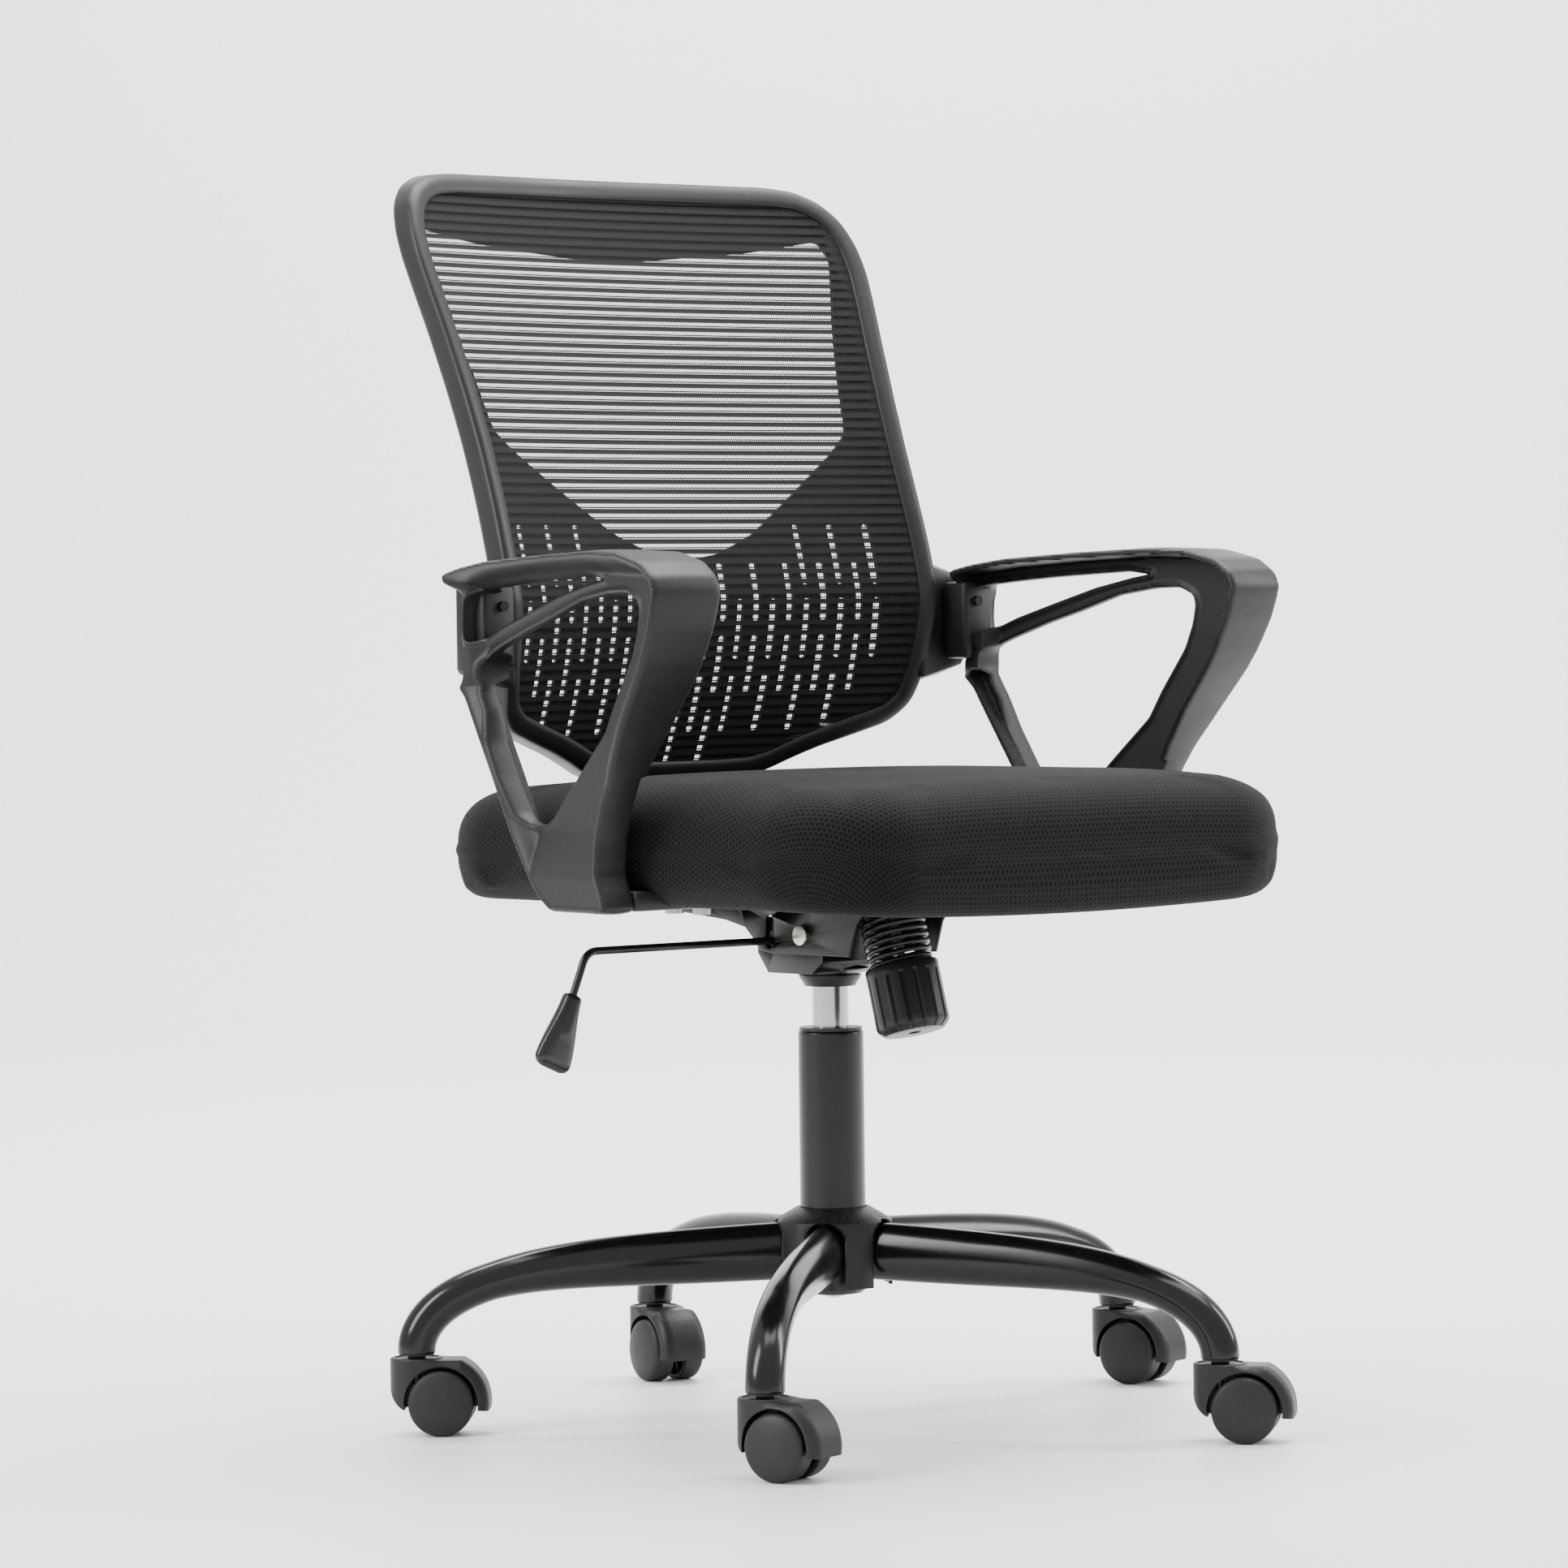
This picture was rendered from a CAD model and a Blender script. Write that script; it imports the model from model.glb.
import bmesh
import bpy
import math
import numpy as np
from mathutils import Matrix, Vector
from mathutils.kdtree import KDTree


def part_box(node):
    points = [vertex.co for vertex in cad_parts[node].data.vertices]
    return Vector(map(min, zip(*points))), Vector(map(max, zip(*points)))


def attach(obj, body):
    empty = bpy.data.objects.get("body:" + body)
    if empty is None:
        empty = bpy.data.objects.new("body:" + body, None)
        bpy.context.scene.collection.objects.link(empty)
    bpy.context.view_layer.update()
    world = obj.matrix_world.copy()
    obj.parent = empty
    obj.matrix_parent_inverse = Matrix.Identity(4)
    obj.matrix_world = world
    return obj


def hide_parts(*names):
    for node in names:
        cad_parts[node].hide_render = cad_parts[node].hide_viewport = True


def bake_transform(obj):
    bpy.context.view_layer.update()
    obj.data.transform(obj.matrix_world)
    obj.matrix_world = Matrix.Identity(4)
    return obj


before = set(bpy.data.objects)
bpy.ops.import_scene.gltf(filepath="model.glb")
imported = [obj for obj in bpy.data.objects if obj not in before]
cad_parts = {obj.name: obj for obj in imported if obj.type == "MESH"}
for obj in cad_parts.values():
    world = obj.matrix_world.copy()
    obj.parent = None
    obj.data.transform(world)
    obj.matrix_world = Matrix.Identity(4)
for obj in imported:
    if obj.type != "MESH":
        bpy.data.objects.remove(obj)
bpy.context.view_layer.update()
MM = 0.001


# ---- five-leg base ---------------------------------------------------------------------------
# Five steel tubes run out from the hub, bend down at their ends and take a caster each. They are
# painted a deep gloss black, so they carry long, narrow highlights.
def smoothstep(value, low, high):
    """0 below low, 1 above high, and an S-shaped cubic between them."""
    share = np.clip((value - low) / (high - low), 0, 1)
    return share * share * (3 - 2 * share)


def grid(points, around=False, along=False):
    """Vertices and quads of a grid [row, column, xyz] in millimetres.

    around closes every row on itself, and along joins the last row to the first."""
    rows, columns = points.shape[:2]
    index = np.arange(rows * columns).reshape(rows, columns)
    if around:
        index = np.concatenate([index, index[:, :1]], axis=1)
    if along:
        index = np.concatenate([index, index[:1]], axis=0)
    quads = np.stack([index[:-1, :-1], index[:-1, 1:], index[1:, 1:], index[1:, :-1]], axis=-1)
    return points.reshape(-1, 3), quads.reshape(-1, 4)


def make(name, surfaces, material, crease=35):
    """One closed mesh from (vertices, faces) pairs in millimetres, merged and facing outwards."""
    start, points, faces = 0, [], []
    for vertices, quads in surfaces:
        points.append(vertices)
        faces += (quads + start).tolist()
        start += len(vertices)
    mesh = bpy.data.meshes.new(name)
    mesh.from_pydata((np.concatenate(points) * MM).tolist(), [], faces)
    work = bmesh.new()
    work.from_mesh(mesh)
    bmesh.ops.remove_doubles(work, verts=work.verts, dist=0.01 * MM)
    bmesh.ops.dissolve_degenerate(work, edges=work.edges, dist=0.005 * MM)
    bmesh.ops.recalc_face_normals(work, faces=work.faces)
    work.to_mesh(mesh)
    work.free()
    mesh.materials.append(material)
    piece = bpy.data.objects.new(name, mesh)
    bpy.context.scene.collection.objects.link(piece)
    mesh.shade_smooth()
    mesh.set_sharp_from_angle(angle=math.radians(crease))
    return piece


def fit(piece, body, slot, *nodes):
    """Let a piece ride on its body, take its slot and stand for its CAD nodes."""
    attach(piece, body)
    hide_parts(*nodes)
    return piece


def wire(tree, kind, inputs=None, **settings):
    """Add a shader node, set its properties and feed its inputs with values or sockets."""
    node = tree.nodes.new("ShaderNode" + kind)
    for key, value in settings.items():
        setattr(node, key, value)
    for key, value in (inputs or {}).items():
        if isinstance(value, bpy.types.NodeSocket):
            tree.links.new(value, node.inputs[key])
        else:
            node.inputs[key].default_value = value
    return node


def shader_group(name, inputs, outputs):
    """An empty node group with its sockets: returns the tree, its inputs and its output node."""
    tree = bpy.data.node_groups.new(name, "ShaderNodeTree")
    for direction, sockets in (("INPUT", inputs), ("OUTPUT", outputs)):
        for label, kind in sockets.items():
            tree.interface.new_socket(label, in_out=direction, socket_type="NodeSocket" + kind)
    return tree, tree.nodes.new("NodeGroupInput").outputs, tree.nodes.new("NodeGroupOutput")


def build_handling():
    """Marks of use: faint smears all over, and dust that settles on faces that look up."""
    tree, given, result = shader_group(
        "handling", {"Vector": "Vector"}, {"Smear": "Float", "Dust": "Float"}
    )
    smear = wire(tree, "TexNoise", {"Vector": given["Vector"], "Scale": 14.0, "Detail": 5.0})
    smear = wire(tree, "MapRange", {"Value": smear.outputs[0], "From Min": 0.3, "From Max": 0.7})
    specks = wire(tree, "TexNoise", {"Vector": given["Vector"], "Scale": 420.0, "Detail": 2.0})
    specks = wire(tree, "MapRange", {"Value": specks.outputs[0], "From Min": 0.5, "From Max": 0.75})
    facing = wire(tree, "SeparateXYZ", {"Vector": wire(tree, "NewGeometry").outputs["Normal"]})
    up = wire(tree, "MapRange", {"Value": facing.outputs["Z"], "From Min": 0.2, "From Max": 1.0})
    dust = wire(tree, "Math", {0: specks.outputs[0], 1: up.outputs[0]}, operation="MULTIPLY")
    tree.links.new(smear.outputs[0], result.inputs["Smear"])
    tree.links.new(dust.outputs[0], result.inputs["Dust"])
    return tree


handling = build_handling()


def new_material(name, colour, roughness, settings):
    """A Principled material with its plain values set on the shader: returns its tree and parts."""
    material = bpy.data.materials.new(name)
    material.use_nodes = True
    tree = material.node_tree
    shader = tree.nodes["Principled BSDF"]
    shader.inputs["Base Color"].default_value = (*colour, 1)
    shader.inputs["Roughness"].default_value = roughness
    for key, value in settings.items():
        shader.inputs[key].default_value = value
    place = wire(tree, "TexCoord").outputs["Object"]
    return material, tree, shader, place


def add_handling(tree, shader, place, colour, roughness, smear, dust):
    """Vary roughness with smears, and lighten the colour a little where dust lies."""
    marks = wire(tree, "Group", node_tree=handling)
    tree.links.new(place, marks.inputs["Vector"])
    worn = wire(tree, "MapRange", {"Value": marks.outputs["Smear"], "To Min": roughness - smear,
                                   "To Max": roughness + smear})
    tree.links.new(worn.outputs[0], shader.inputs["Roughness"])
    amount = wire(tree, "Math", {0: marks.outputs["Dust"], 1: dust}, operation="MULTIPLY")
    tint = wire(tree, "Mix", {"Factor": amount.outputs[0]}, data_type="RGBA")
    tint.inputs[6].default_value = (*colour, 1)
    tint.inputs[7].default_value = (0.10, 0.10, 0.105, 1)
    tree.links.new(tint.outputs[2], shader.inputs["Base Color"])


def painted(name, colour, roughness, coat=0.0, metallic=0.0, ripple=0.02, dust=0.25, smear=0.05):
    """Paint or plating: an even film with a very slight orange-peel ripple."""
    material, tree, shader, place = new_material(
        name, colour, roughness, {"Coat Weight": coat, "Coat Roughness": 0.06, "Metallic": metallic,
                                  "Specular IOR Level": 0.35}
    )
    add_handling(tree, shader, place, colour, roughness, smear, dust)
    peel = wire(tree, "TexNoise", {"Vector": place, "Scale": 260.0, "Detail": 2.0})
    bump = wire(tree, "Bump", {"Height": peel.outputs[0], "Strength": ripple, "Distance": 0.0004})
    tree.links.new(bump.outputs[0], shader.inputs["Normal"])
    return material


gloss_black = painted("gloss_black_paint", (0.003, 0.003, 0.0032), 0.19, dust=0.08)
socket_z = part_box("base_legs")[0].z / MM
base_radius = 321.0
leg_start = 30.0
leg_rise = 69.0
leg_fall = 0.13
leg_bend = 5.5
leg_turns = {"front_left": -50.1, "front_right": 21.9, "right": 93.9, "rear": 165.9, "left": 237.9}
leg_rows, leg_columns = 60, 40
leg_end_size = 29.0
leg_root_depth = 44.0


def leg_line(share):
    """(radius, height) of a leg's middle line: a gentle fall, then a bend down to the caster."""
    level = leg_rise * (1 - leg_fall * share) * np.sqrt(np.clip(1 - share ** leg_bend, 0, 1))
    return leg_start + share * (base_radius - leg_start), socket_z + level


def spin(points, angle):
    """Points turned about Z by an angle in radians."""
    x, y, z = points[..., 0], points[..., 1], points[..., 2]
    return np.stack([x * math.cos(angle) - y * math.sin(angle),
                     x * math.sin(angle) + y * math.cos(angle), z], axis=-1)


def leg_surface(turn):
    """Ellipses carried along the leg's middle line, from the hub out and down to the socket."""
    share = 1 - (1 - np.linspace(0, 1, leg_rows)) ** 2.2
    radius, height = leg_line(share)
    run = np.stack([np.gradient(radius), np.gradient(height)], axis=1)
    run /= np.linalg.norm(run, axis=1)[:, None]
    run[-1] = (0, -1)
    run[-2] = run[-3] * 0.35 + run[-1] * 0.65
    deep = leg_end_size + (leg_root_depth - leg_end_size) * np.clip(1 - (share / 0.8) ** 2, 0, 1)
    wide = 27.0 + 2.0 * np.clip(share / 0.8, 0, 1)
    angle = np.linspace(0, 2 * math.pi, leg_columns, endpoint=False)
    across = np.cos(angle)[None] * wide[:, None] / 2
    up = np.sin(angle)[None] * deep[:, None] / 2
    out = radius[:, None] - up * run[:, 1:2]
    z = height[:, None] + up * run[:, 0:1]
    tip = np.stack([out[-1], across[-1], z[-1]], axis=-1)
    centre = tip.mean(axis=0)
    lip = ((0.985, -0.6), (0.94, -0.9), (0.86, -0.9), (0.84, 6.0), (0.0, 6.0))
    rim = [centre + (tip - centre) * size + (0, 0, drop) for size, drop in lip]
    local = np.concatenate([np.stack([out, across, z], axis=-1), np.stack(rim)])
    heading = math.radians(turn - 90)
    return grid(spin(local, heading), around=True)


legs = make("base_leg_set", [leg_surface(turn) for turn in leg_turns.values()], gloss_black)
fit(legs, "base", "gloss_black_steel", "base_legs")


# ---- hub, sockets and the pieces shown as cut metal or moulded plastic --------------------------
# The hub shroud is moulded, with an arched mouth for each leg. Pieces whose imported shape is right
# are copied, cleaned of doubled points and given small rounded edges, as any pressed or moulded
# piece has.
def build_grain():
    """Fine spark-eroded grain of a moulding: small blunt bumps with finer noise on top."""
    tree, given, result = shader_group("moulded_grain", {"Vector": "Vector", "Scale": "Float"},
                                       {"Height": "Float"})
    cells = wire(tree, "TexVoronoi", {"Vector": given["Vector"], "Scale": given["Scale"]},
                 feature="SMOOTH_F1")
    noise = wire(tree, "TexNoise", {"Vector": given["Vector"], "Scale": given["Scale"], "Detail": 3.0})
    both = wire(tree, "Math", {0: cells.outputs["Distance"], 1: noise.outputs[0]}, operation="ADD")
    tree.links.new(both.outputs[0], result.inputs["Height"])
    return tree


grain = build_grain()


def moulded(name, colour, roughness, grain_scale=1500.0, grain_depth=0.25, dust=0.3, smear=0.05,
            coat=0.0):
    """Moulded plastic: a fine grain in the surface, smears and a little dust."""
    material, tree, shader, place = new_material(
        name, colour, roughness, {"Coat Weight": coat, "Coat Roughness": 0.25,
                                  "Specular IOR Level": 0.3}
    )
    add_handling(tree, shader, place, colour, roughness, smear, dust)
    texture = wire(tree, "Group", node_tree=grain)
    tree.links.new(place, texture.inputs["Vector"])
    texture.inputs["Scale"].default_value = grain_scale
    bump = wire(tree, "Bump", {"Height": texture.outputs[0], "Strength": grain_depth,
                               "Distance": 0.0002})
    tree.links.new(bump.outputs[0], shader.inputs["Normal"])
    return material


def refined(node, material, body, slot, edge):
    """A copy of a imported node's mesh with merged points, flat faces joined and rounded edges."""
    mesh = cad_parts[node].data.copy()
    mesh.materials.clear()
    mesh.materials.append(material)
    work = bmesh.new()
    work.from_mesh(mesh)
    bmesh.ops.remove_doubles(work, verts=work.verts, dist=0.002 * MM)
    bmesh.ops.dissolve_limit(work, angle_limit=math.radians(1.5), verts=work.verts,
                             edges=work.edges)
    bmesh.ops.triangulate(work, faces=[f for f in work.faces if len(f.verts) > 4])
    work.to_mesh(mesh)
    work.free()
    piece = bpy.data.objects.new(node + "_finished", mesh)
    bpy.context.scene.collection.objects.link(piece)
    mesh.shade_smooth()
    bevel = piece.modifiers.new("rounded_edges", "BEVEL")
    bevel.width = edge * MM
    bevel.segments = 2
    bevel.limit_method = "ANGLE"
    bevel.angle_limit = math.radians(40)
    bevel.harden_normals = True
    return fit(piece, body, slot, node)


def dress(node, material):
    """Give a CAD node that stays as it is a better material."""
    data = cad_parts[node].data
    if not data.materials:
        data.materials.append(material)
    for index in range(len(data.materials)):
        data.materials[index] = material


hub_plastic = moulded("hub_plastic", (0.006, 0.006, 0.0065), 0.42, grain_scale=1300, grain_depth=0.5)
socket_plastic = moulded("socket_plastic", (0.02, 0.02, 0.021), 0.5)
hub_steel = painted("hub_steel", (0.02, 0.02, 0.022), 0.3, metallic=0.4)
refined("hub_cover", hub_plastic, "base", "hub_plastic", edge=0.9)
dress("hub_tube", hub_steel)
dress("caster_sockets", socket_plastic)


# ---- casters ---------------------------------------------------------------------------------
# Each caster is a nylon hood with a wall in its middle, a steel stem and axle, and two wheels
# with domed faces and open, ribbed backs. The hood's top is crowned and its wheel arch has a bead.
def slope_of(field, points, near, step):
    """Slope of a field at points where it has the values near."""
    beyond = np.stack([field(points + (step, 0)), field(points + (0, step))], axis=-1)
    return (beyond - near[:, None]) / step


def plate(field, box, spacing, front, rear, columns=3, crown=0.0):
    """Two-sided plate over the region where field(u, v) > 0, on a grid clipped to its edge.

    Grid points near the edge slide onto it along the field's slope. front and rear give the two
    faces' heights w at (u, v), and a wall of columns joins them, bulging by crown. Returns
    vertices (u, v, w) and faces."""
    u = np.arange(box[0], box[1] + spacing, spacing)
    v = np.arange(box[2], box[3] + spacing, spacing)
    shape = (len(u), len(v))
    flat = np.stack(np.meshgrid(u, v, indexing="ij"), axis=-1).reshape(-1, 2)
    step = 0.02 * spacing
    edge = None
    for _ in range(3):
        near = field(flat)
        slope = slope_of(field, flat, near, step)
        length = np.linalg.norm(slope, axis=1)
        slope /= np.maximum(length, 0.3)[:, None] ** 2
        if edge is None:
            edge = (near < 0.52 * spacing) & (near > -0.9 * spacing) & (length > 0.3)
        flat = np.where(edge[:, None], flat - slope * near[:, None], flat)

    final = field(flat)
    inside = (final > -0.02 * spacing) | (edge & (final > -0.2 * spacing))
    index = np.arange(len(flat)).reshape(shape)
    cells = np.stack([index[:-1, :-1], index[1:, :-1], index[1:, 1:], index[:-1, 1:]], axis=-1)
    cells = cells.reshape(-1, 4)
    cells = cells[inside[cells].all(axis=1)]
    cells = cells[field(flat[cells].mean(axis=1)) > -0.05 * spacing]
    used, faces = np.unique(cells, return_inverse=True)
    faces = faces.reshape(-1, 4)
    flat = flat[used]
    high, low = front(flat), rear(flat)

    count = len(flat)
    edges = np.concatenate([faces[:, [a, b]] for a, b in ((0, 1), (1, 2), (2, 3), (3, 0))])
    _, first, times = np.unique(np.sort(edges, axis=1), axis=0, return_index=True, return_counts=True)
    border = edges[first[times == 1]]
    ring = np.unique(border)
    order = np.full(count, -1)
    order[ring] = np.arange(len(ring))
    away = -slope_of(field, flat[ring], field(flat[ring]), step)
    away /= np.maximum(np.linalg.norm(away, axis=1), 1e-9)[:, None]
    share = np.linspace(0, 1, columns + 2)[1:-1]
    wall = np.empty((len(ring), columns + 2), int)
    wall[:, 0], wall[:, -1] = ring, ring + count
    wall[:, 1:-1] = 2 * count + np.arange(len(ring) * columns).reshape(len(ring), columns)
    bulge = crown * 4 * share * (1 - share)
    between = np.empty((len(ring), columns, 3))
    between[..., :2] = flat[ring][:, None] + away[:, None] * bulge[None, :, None]
    between[..., 2] = high[ring][:, None] * (1 - share) + low[ring][:, None] * share
    vertices = np.concatenate([np.column_stack([flat, high]), np.column_stack([flat, low]),
                               between.reshape(-1, 3)])
    start, end = wall[order[border[:, 0]]], wall[order[border[:, 1]]]
    side = np.stack([start[:, :-1], start[:, 1:], end[:, 1:], end[:, :-1]], axis=-1)
    return vertices, np.concatenate([faces, faces[:, ::-1] + count, side.reshape(-1, 4)])


def rounding(distance, radius):
    """How far a face lies below its full height near an edge that is rounded to radius."""
    inside = np.clip(radius - distance, 0, radius)
    return radius - np.sqrt(np.maximum(radius ** 2 - inside ** 2, 0))


def revolve(profile, segments=64):
    """Points [row, segment, (radius, side, height)] of a (radius, height) profile about an axis."""
    angle = np.linspace(0, 2 * math.pi, segments, endpoint=False)
    radius, height = np.array(profile, float).T
    return np.stack([radius[:, None] * np.cos(angle), radius[:, None] * np.sin(angle),
                     np.repeat(height[:, None], segments, axis=1)], axis=-1)


def arc(centre, radius, start, end, count=8):
    """Points of a circular arc in a profile, with angles in degrees."""
    angle = np.radians(np.linspace(start, end, count))
    return [(centre[0] + radius * math.cos(a), centre[1] + radius * math.sin(a)) for a in angle]


caster_plastic = moulded("caster_nylon", (0.009, 0.009, 0.010), 0.46, grain_scale=1700,
                         grain_depth=0.35, dust=0.2)
wheel_plastic = moulded("wheel_nylon", (0.011, 0.011, 0.0125), 0.5, grain_scale=1900,
                        grain_depth=0.3, dust=0.2)
stem_steel = painted("stem_steel", (0.05, 0.05, 0.052), 0.3, metallic=0.9)
axle_steel = painted("axle_steel", (0.45, 0.45, 0.44), 0.3, metallic=1.0)
trail_headings = {"front_left": -74.0, "front_right": -51.0, "right": -75.0, "rear": -102.0,
                  "left": -43.0}
wheel_radius = 25.0
trail = 19.5
web_half = 4.5
hood_half = 20.3
barrel_radius = 20.3
arch_radius = 28.2
shell_radius = 36.3
shell_top = 32.7
hood_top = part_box("caster_hood_left")[1].z / MM


def hood_outer(points):
    """Distance into the hood's side view: a round shell behind, an upright barrel in front."""
    x, z = points[:, 0] - trail, points[:, 1] - wheel_radius
    dome = np.minimum(shell_radius - np.hypot(x, z), shell_top - z)
    shell = np.minimum(dome, z + 5.5 + 0.12 * (x - 30))
    barrel = barrel_radius - np.hypot(points[:, 0], np.minimum(points[:, 1] - 38.5, 0))
    return np.maximum(np.minimum(shell, x + 24), np.minimum(barrel, hood_top - 1.0 - points[:, 1]))


def hood_field(points):
    """The outer shape less the round wheel arch."""
    reach = np.hypot(points[:, 0] - trail, points[:, 1] - wheel_radius) - arch_radius
    return np.minimum(hood_outer(points), reach)


def hood_face(points):
    """Half width: round in plan over the barrel, crowned behind it, with a bead on the arch."""
    x, z = points[:, 0] - trail, points[:, 1] - wheel_radius
    reach = np.hypot(x, z) - arch_radius
    edge = np.maximum(np.minimum(shell_radius - np.hypot(x, z), shell_top - z), 0)
    full = hood_half - 0.9 * rounding(edge, 9.0) * smoothstep(x, -12, 6)
    full = full + 0.5 * np.exp(-(((reach - 1.2) / 1.0) ** 2))
    front = np.sqrt(np.clip(barrel_radius ** 2 - np.minimum(points[:, 0], 0) ** 2, 0.3, None))
    return np.minimum(full, front)


def wall_field(points):
    """The wall between the wheels, with a boss about the axle."""
    boss = 9.5 - np.hypot(points[:, 0] - trail, points[:, 1] - wheel_radius)
    return np.maximum(np.minimum(hood_outer(points) - 1.5, points[:, 1] - wheel_radius + 5), boss)


def place_caster(name, vertices):
    """Move points made about the stem axis, with u along the trail, to their leg."""
    turn = math.radians(leg_turns[name])
    stem_place = np.array([base_radius * math.sin(turn), -base_radius * math.cos(turn), 0])
    return spin(vertices, math.radians(trail_headings[name])) + stem_place


def level_face(height):
    """A plate's flat face at one height."""
    return lambda points: np.full(len(points), height)


hood_view = (-24, 60, 12, 62)
hood_parts = [
    plate(hood_field, hood_view, 0.9, hood_face, lambda p: -hood_face(p), columns=12),
    plate(wall_field, hood_view, 0.9, level_face(web_half), level_face(-web_half)),
]
hood_parts = [(vertices[:, [0, 2, 1]], faces) for vertices, faces in hood_parts]
hood_parts.append(grid(revolve([
    (0, hood_top - 5), (19.9, hood_top - 5), (19.9, hood_top - 0.9), (19.2, hood_top - 0.1),
    (17.4, hood_top), (16.8, hood_top - 0.6), (16.4, hood_top - 1.8), (0, hood_top - 2.0),
]), around=True))
wheel_near = web_half + 1.0
wheel_far = wheel_near + 17.0
wheel_profile = (
    [(0, wheel_far + 2.6), (6, wheel_far + 2.5), (12, wheel_far + 2.0), (18, wheel_far + 0.7)]
    + arc((20.2, wheel_far - 4.6), 4.8, 68, 0, 7)
    + [(25, wheel_near + 8), (25, wheel_near + 1.6)]
    + arc((24, wheel_near + 1), 1.0, 0, -90, 4)
    + [(21.6, wheel_near), (21.2, wheel_near + 0.4), (21.0, wheel_far - 5.5), (7.0, wheel_far - 5.2),
       (7.0, wheel_near + 0.2), (6.6, wheel_near), (3.1, wheel_near), (3.1, wheel_far - 4),
       (0, wheel_far - 4)]
)


def wheel_rib(turn):
    """A thin radial web in the back of a wheel, between the rim and the boss."""
    radius = np.linspace(6.5, 21.3, 6)[:, None]
    half = 0.7
    corner = np.array([(-half, wheel_near + 2.5), (half, wheel_near + 2.5),
                       (half, wheel_far - 5.0), (-half, wheel_far - 5.0)])
    across = np.repeat(corner[None, :, 0], 6, axis=0)
    depth = np.repeat(corner[None, :, 1], 6, axis=0)
    depth = depth + np.where(corner[None, :, 1] < wheel_near + 3, 2.2 * ((radius - 6.5) / 14.8), 0)
    x = radius * math.cos(turn) - across * math.sin(turn)
    y = radius * math.sin(turn) + across * math.cos(turn)
    return grid(np.stack([x, y, depth], axis=-1), around=True)


for name in leg_turns:
    body = "caster_" + name
    hood = make("hood_" + name, [(place_caster(name, v), f) for v, f in hood_parts], caster_plastic,
                crease=48)
    fit(hood, body, "caster_plastic", "caster_hood_" + name)
    stem_profile = (
        [(0, hood_top - 20), (5.3, hood_top - 20), (5.3, hood_top - 2), (7.4, hood_top - 1.0)]
        + arc((6.2, hood_top + 0.4), 1.2, -60, 80, 6)
        + [(5.6, hood_top + 2.2), (5.3, hood_top + 3.2), (5.3, hood_top + 13), (4.6, hood_top + 14),
           (0, hood_top + 14)]
    )
    stem_points, stem_faces = grid(revolve(stem_profile, 40), around=True)
    stem = make("stem_" + name, [(place_caster(name, stem_points), stem_faces)], stem_steel)
    fit(stem, body, "stem_steel", "caster_stem_" + name)
    dress("caster_axle_" + name, axle_steel)
    for letter, side in (("a", -1), ("b", 1)):
        parts = []
        rims = [grid(revolve(wheel_profile, 72), around=True)]
        ribs = [wheel_rib(turn) for turn in np.linspace(0, 2 * math.pi, 8, endpoint=False)]
        for vertices, faces in rims + ribs:
            upright = np.stack([vertices[:, 0] + trail, side * vertices[:, 2],
                                vertices[:, 1] + wheel_radius], axis=-1)
            parts.append((place_caster(name, upright), faces))
        wheel = make(f"rolling_wheel_{letter}_{name}", parts, wheel_plastic)
        fit(wheel, f"wheel_{letter}_{name}", "wheel_plastic", f"wheel_{letter}_{name}")


# ---- gas column ------------------------------------------------------------------------------
# A satin black outer tube with a rolled lip holds a plastic guide sleeve. The bright ground steel
# cylinder slides in it, and inside are its rod, seal, bearing and clip.
def turned(name, profile, material, body, slot, node, segments=96, crease=30):
    """A turned piece about the column axis from a (radius, height) profile in millimetres."""
    piece = make(name, [grid(revolve(profile, segments), around=True)], material, crease)
    return fit(piece, body, slot, node)


satin_black = painted("satin_black_paint", (0.005, 0.005, 0.0055), 0.3, ripple=0.05, dust=0.05)
ground_steel = painted("ground_steel", (0.60, 0.60, 0.59), 0.2, metallic=1.0, dust=0.0, smear=0.04)
chromed_rod = painted("chromed_rod", (0.62, 0.62, 0.62), 0.1, metallic=1.0, dust=0.0)
bearing_steel = painted("bearing_steel", (0.42, 0.42, 0.42), 0.3, metallic=1.0)
button_steel = painted("button_steel", (0.5, 0.48, 0.42), 0.3, metallic=1.0)
seal_rubber = moulded("seal_rubber", (0.012, 0.012, 0.012), 0.7, grain_scale=900)
sleeve_plastic = moulded("sleeve_plastic", (0.02, 0.02, 0.02), 0.4, grain_depth=0.1)
tube_low, tube_high = (corner.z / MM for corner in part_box("column_outer_tube"))
turned("column_tube", [(6, tube_low), (22, tube_low), (25, tube_low + 3), (25, tube_high - 3.2)]
       + arc((22.4, tube_high - 2.2), 2.6, 0, 90, 8)
       + [(15.6, tube_high + 0.2), (15.2, tube_high - 1.0), (22.9, tube_high - 2), (23, tube_low + 3.2),
          (6, tube_low + 3), (6, tube_low)],
       satin_black, "base", "column_steel", "column_outer_tube", segments=128)
dress("column_guide_sleeve", sleeve_plastic)
dress("thrust_bearing", bearing_steel)
dress("piston_rod", chromed_rod)
dress("retaining_clip", bearing_steel)
dress("rod_guide_seal", seal_rubber)
dress("valve_button", button_steel)
dress("pressure_cylinder", ground_steel)
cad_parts["pressure_cylinder"].data.shade_smooth()


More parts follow.
